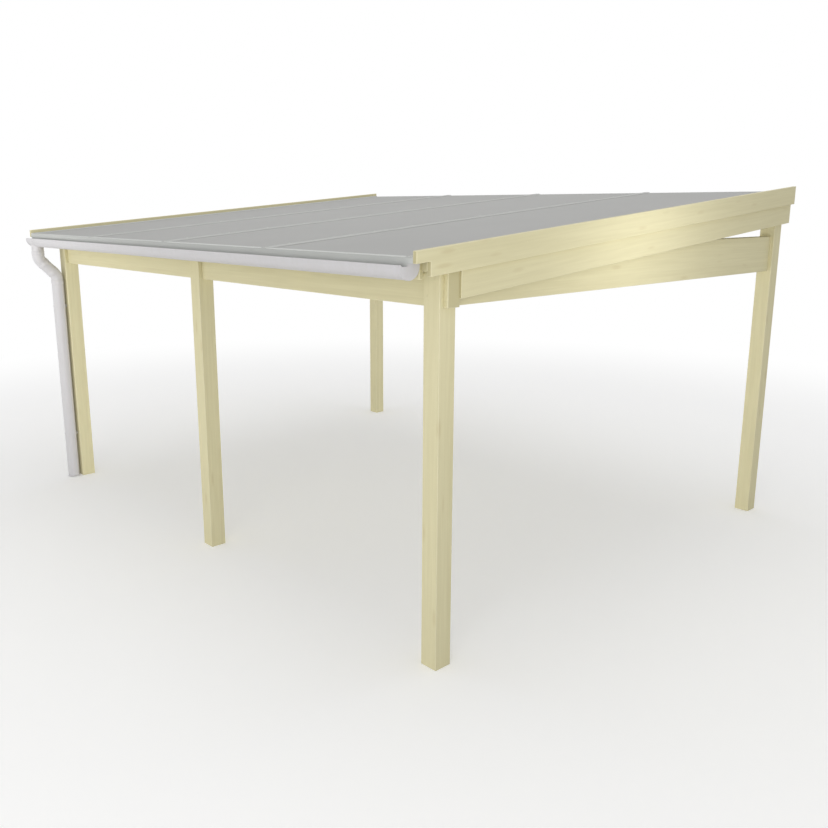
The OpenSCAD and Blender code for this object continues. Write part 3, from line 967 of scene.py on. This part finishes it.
# %% Sunk screws in the verge boards
SUNK = in_mm((0, -2), (4.2, -2), (4.2, 0), (4.0, 0.25), (1.5, 0.3), (1.3, -1.2), (0, -1.4))
SUNK_STEP, SUNK_START, SUNK_MARGIN = 600 * MM, 250 * MM, 300 * MM
SUNK_DROPS = (15 * MM, 75 * MM)  # below the top face of the sheets
sunk, sunk_count = bmesh.new(), 0
sunk.verts.layers.float_vector.new("board")
for node in ("left_verge_board", "right_verge_board"):
    (x0, y0, _), (x1, y1, _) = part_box(node)
    outward, face_x = (-X, x0) if x0 < 0 else (X, x1)
    for i in range(int((y1 - y0 - SUNK_MARGIN) / SUNK_STEP) + 1):
        y = y0 + SUNK_START + i * SUNK_STEP
        for drop in SUNK_DROPS:
            seat = Vector((face_x, y, sheet_top(y) - drop))
            turn_in_wood(sunk, SUNK, seat, outward, 18, BOARD_GAP * SCREW_WOOD + i)
            sunk_count += 1
soften(sunk)
keep(sunk, "verge_screws", sawn_spruce, "timber")
print(sunk_count, "sunk screws")

# %% [markdown]
# ## The studio
# The frame stands on a plain white floor. A floor that ends somewhere shows a horizon,
# and one that never ends turns grey in the distance. So the floor's material is a mix:
# near the frame it is matt white paint that takes the shadows, and further out it turns,
# for the camera alone, into the same white as the world behind it. A little white is
# added to the paint as well, again for the camera alone, because real paint swallows
# some of the light and would look grey beside a pure white background.

# %% Floor
REACH, FADE_FROM, FADE_TO = 60, 4.0, 10.0  # metres from the middle of the floor
FLOOR_LIFT = 0.19  # the white that is added to the paint
floor_mesh = bpy.data.meshes.new("floor")
floor_mesh.from_pydata([(-REACH, -REACH, 0), (REACH, -REACH, 0), (REACH, REACH, 0),
                        (-REACH, REACH, 0)], [], [(0, 1, 2, 3)])
floor = bpy.data.objects.new("floor", floor_mesh)
scene.collection.objects.link(floor)

floor_white, tree, surface = new_material("matt_white_floor_paint")
ray = add(tree, "LightPath")
spot = add(tree, "TexCoord")
far = add(tree, "VectorMath", {0: spot.outputs["Object"]}, operation="LENGTH")
fade = add(tree, "MapRange", {"Value": far.outputs["Value"], "From Min": FADE_FROM,
                              "From Max": FADE_TO}, interpolation_type="SMOOTHSTEP")
paint = add(tree, "BsdfDiffuse", {"Color": srgb("#f6f6f6")})
lift = add(tree, "Emission", {"Color": (1, 1, 1, 1), "Strength": FLOOR_LIFT})
near = add(tree, "AddShader", {0: paint.outputs[0], 1: lift.outputs[0]})
white = add(tree, "Emission", {"Color": (1, 1, 1, 1), "Strength": 1.0})
seen = add(tree, "MixShader", {0: fade.outputs[0], 1: near.outputs[0],
                               2: white.outputs[0]})
both = add(tree, "MixShader", {0: ray.outputs["Is Camera Ray"], 1: paint.outputs[0],
                               2: seen.outputs[0]})
tree.links.new(both.outputs[0], surface)
floor_mesh.materials.append(floor_white)
print("floor", 2 * REACH, "m wide")

# %% [markdown]
# The light is soft and plain, and a pale world gives more than half of it. Light Path
# tells the world which ray has met it. The camera sees it as pure white, and so do
# reflections and rays through glass, but as a source of light it is weaker.

# %% World
WORLD_LIGHT = 0.6
world = bpy.data.worlds.new("studio")
world.use_nodes = True
world.node_tree.nodes.clear()
tree = world.node_tree
ray = add(tree, "LightPath")
seen = add(tree, "Math", {0: ray.outputs["Is Camera Ray"],
                          1: ray.outputs["Is Glossy Ray"]}, operation="MAXIMUM")
seen = add(tree, "Math", {0: seen.outputs[0], 1: ray.outputs["Is Transmission Ray"]},
           operation="MAXIMUM")
strength = add(tree, "MapRange", {"Value": seen.outputs[0], "To Min": WORLD_LIGHT,
                                  "To Max": 1.0})
glow = add(tree, "Background", {"Color": (1, 1, 1, 1), "Strength": strength.outputs[0]})
add(tree, "OutputWorld", {"Surface": glow.outputs[0]})
scene.world = world
print("the world lights with a strength of", WORLD_LIGHT, "and is seen at 1")

# %% [markdown]
# Two large lamps stand for the windows of a studio, and a low one for what a pale floor
# throws back up. Four small ones bring out the gable, the right front post, the corner
# with the downpipe and the inner sides of the posts. All are set so that a colour shows
# about as it is written. Only the windows show in reflections. The other lamps would draw
# bright pools on the floor, so Blender's light linking leaves the floor out of them.

# %% Lamps
LAMPS = {
    # name: (kind, place, target, size in metres, power in watts)
    "front_window": ("AREA", (6.5, -9.0, 2.2), (0.0, 0.0, 1.8), 4.0, 175.0),
    "roof_window": ("AREA", (0.0, 0.0, 9.0), (0.0, 0.0, 0.0), 8.0, 175.0),
    "gable_lamp": ("AREA", (3.7, -0.1, 2.35), (2.6, -0.1, 2.35), 0.5, 7.6),
    "corner_lamp": ("AREA", (-2.3, -4.2, 1.9), (-2.2, -2.0, 1.9), 0.8, 20.0),
    "floor_lamp": ("AREA", (0.0, -4.5, 0.1), (0.0, -1.9, 2.3), 4.0, 36.0),
    "post_lamp": ("AREA", (3.5, -2.2, 2.0), (2.55, -1.9, 2.25), 0.4, 1.6),
    "inner_lamp": ("POINT", (0.0, 0.0, 1.1), (0.0, 0.0, 0.0), 0.6, 100.0),
}


def lamp(name, kind, place, target, size, power):
    """A soft lamp, turned towards a target and unseen by the camera."""
    data = bpy.data.lights.new(name, kind)
    if kind == "AREA":
        data.size = size
    else:
        data.shadow_soft_size = size
    data.energy = power
    made = bpy.data.objects.new(name, data)
    made.location = place
    made.rotation_mode = "QUATERNION"
    made.rotation_quaternion = (Vector(target) - Vector(place)).to_track_quat("-Z", "Y")
    made.visible_camera = False
    scene.collection.objects.link(made)
    return made


lamps = {name: lamp(name, *values) for name, values in LAMPS.items()}

spared = bpy.data.collections.new("lit_by_the_windows_only")
spared.objects.link(floor)
spared.collection_objects[0].light_linking.link_state = "EXCLUDE"
for name, made in lamps.items():
    if not name.endswith("window"):
        made.visible_glossy = False
        made.light_linking.receiver_collection = spared

scene.view_settings.view_transform = "Standard"
print("lamps:", ", ".join(lamps))
